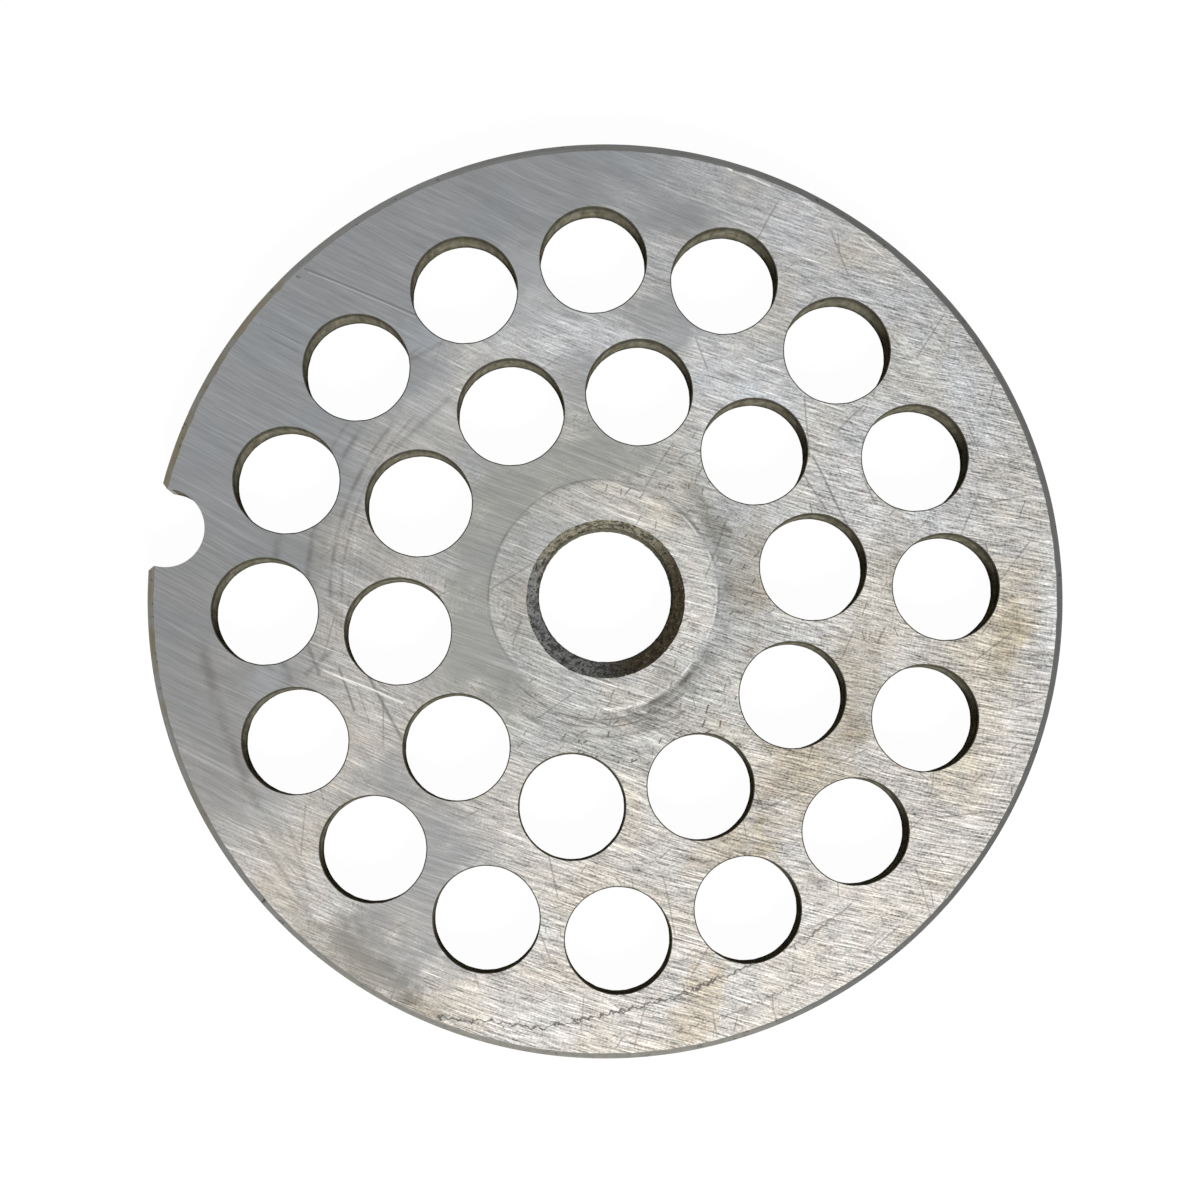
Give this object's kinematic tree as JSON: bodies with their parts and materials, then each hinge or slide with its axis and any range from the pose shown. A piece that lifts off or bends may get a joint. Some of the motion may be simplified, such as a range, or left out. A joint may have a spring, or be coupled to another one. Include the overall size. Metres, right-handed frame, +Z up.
{
  "type": "meat grinder plate",
  "caption": "Flat steel disc with a countersunk centre bore, two rings of drilled holes and a round-bottomed locating notch in its rim.",
  "frame": {"origin": "centre of the underside, on the axis of the centre bore", "axes": "+Z up along the bore axis, out of the worn face; the locating notch is on the -X side of the rim"},
  "size_m": [0.0818, 0.082, 0.008],
  "materials": {
    "ground_steel": "surface-ground carbon steel, worn, with fine grinding lines, stains and scratches"
  },
  "bodies": {
    "root": {"grinder_plate": "ground_steel"}
  },
  "joints": []
}
